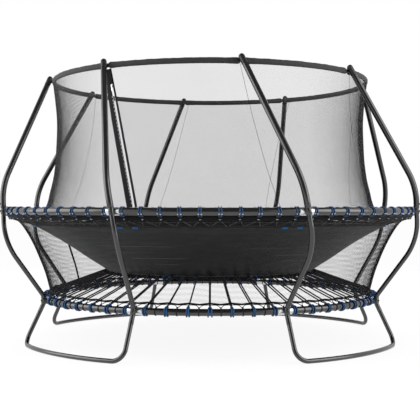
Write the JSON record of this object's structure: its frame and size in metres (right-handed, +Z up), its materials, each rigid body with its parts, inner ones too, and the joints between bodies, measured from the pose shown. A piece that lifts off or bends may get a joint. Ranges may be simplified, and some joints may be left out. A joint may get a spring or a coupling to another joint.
{
  "type": "garden trampoline",
  "caption": "Round springless garden trampoline: funnel-edged bed on elastic cords, two steel rings on bent posts, and a leaning-pole net enclosure with a zipped entrance.",
  "frame": {"origin": "on the ground, at the centre of the bed and of both steel rings", "axes": "+Z up; the zipped entrance is at the front, towards -Y and to its left"},
  "size_m": [3.7516, 3.7522, 2.3439],
  "materials": {
    "black_steel": "gloss black powder coat",
    "black_plastic": "satin moulded",
    "bed_cloth": "dense woven, matt",
    "sleeve_cloth": "padded sleeve, dark grey",
    "net_cloth": "fine black netting",
    "webbing": "black woven webbing",
    "black_cord": "sheathed elastic cord, black",
    "blue_cord": "sheathed cord, blue",
    "zip_metal": "nickel plated"
  },
  "bodies": {
    "frame": {"enclosure_pole_1": "black_steel", "enclosure_pole_2": "black_steel", "enclosure_pole_3": "black_steel", "enclosure_pole_4": "black_steel", "enclosure_pole_5": "black_steel", "enclosure_pole_6": "black_steel", "enclosure_pole_7": "black_steel", "enclosure_pole_8": "black_steel", "leg_post_1": "black_steel", "leg_post_2": "black_steel", "leg_post_3": "black_steel", "leg_post_4": "black_steel", "leg_post_5": "black_steel", "leg_post_6": "black_steel", "leg_post_7": "black_steel", "leg_post_8": "black_steel", "base_frame_1": "black_steel", "base_frame_2": "black_steel", "base_frame_3": "black_steel", "base_frame_4": "black_steel", "upper_ring_tube_1": "black_steel", "upper_ring_tube_2": "black_steel", "upper_ring_tube_3": "black_steel", "upper_ring_tube_4": "black_steel", "upper_ring_tube_5": "black_steel", "upper_ring_tube_6": "black_steel", "upper_ring_tube_7": "black_steel", "upper_ring_tube_8": "black_steel", "lower_ring_tube_1": "black_steel", "lower_ring_tube_2": "black_steel", "lower_ring_tube_3": "black_steel", "lower_ring_tube_4": "black_steel", "lower_ring_tube_5": "black_steel", "lower_ring_tube_6": "black_steel", "lower_ring_tube_7": "black_steel", "lower_ring_tube_8": "black_steel", "pole_cap_1": "black_plastic", "pole_cap_2": "black_plastic", "pole_cap_3": "black_plastic", "pole_cap_4": "black_plastic", "pole_cap_5": "black_plastic", "pole_cap_6": "black_plastic", "pole_cap_7": "black_plastic", "pole_cap_8": "black_plastic", "top_ring_rod": "black_plastic", "top_ring_sleeve": "sleeve_cloth", "funnel_wall": "bed_cloth", "funnel_hem_webbing": "webbing", "upper_ring_lacing": "blue_cord", "elastic_cords": "black_cord", "skirt_lacing": "black_cord", "enclosure_net": "net_cloth", "skirt_net": "net_cloth", "door_zip_band": "webbing", "door_binding": "webbing", "door_head_patch": "webbing"},
    "bed": {"jumping_bed": "bed_cloth", "bed_edge_webbing": "webbing"},
    "zip_slider": {"zip_slider": "zip_metal"},
    "zip_pull": {"zip_pull": "zip_metal"}
  },
  "joints": [
    {"name": "bed_bounce", "type": "slide", "parent": "frame", "child": "bed", "axis": [0, 0, 1], "range_m": [-0.3, 0.03], "stiffness_N_per_m": 5000, "springref_m": 0.0009, "deforming": ["funnel_wall", "elastic_cords"]},
    {"name": "zip_travel", "type": "slide", "parent": "frame", "child": "zip_slider", "axis": [0.19, -0.1853, -0.9641], "range_m": [0, 0.95]},
    {"name": "zip_pull_swing", "type": "hinge", "parent": "zip_slider", "child": "zip_pull", "pos_m": [-0.77575, -1.17731, 2.12634], "axis": [-0.8136, 0.5199, -0.2602], "range_deg": [0, 150]}
  ]
}
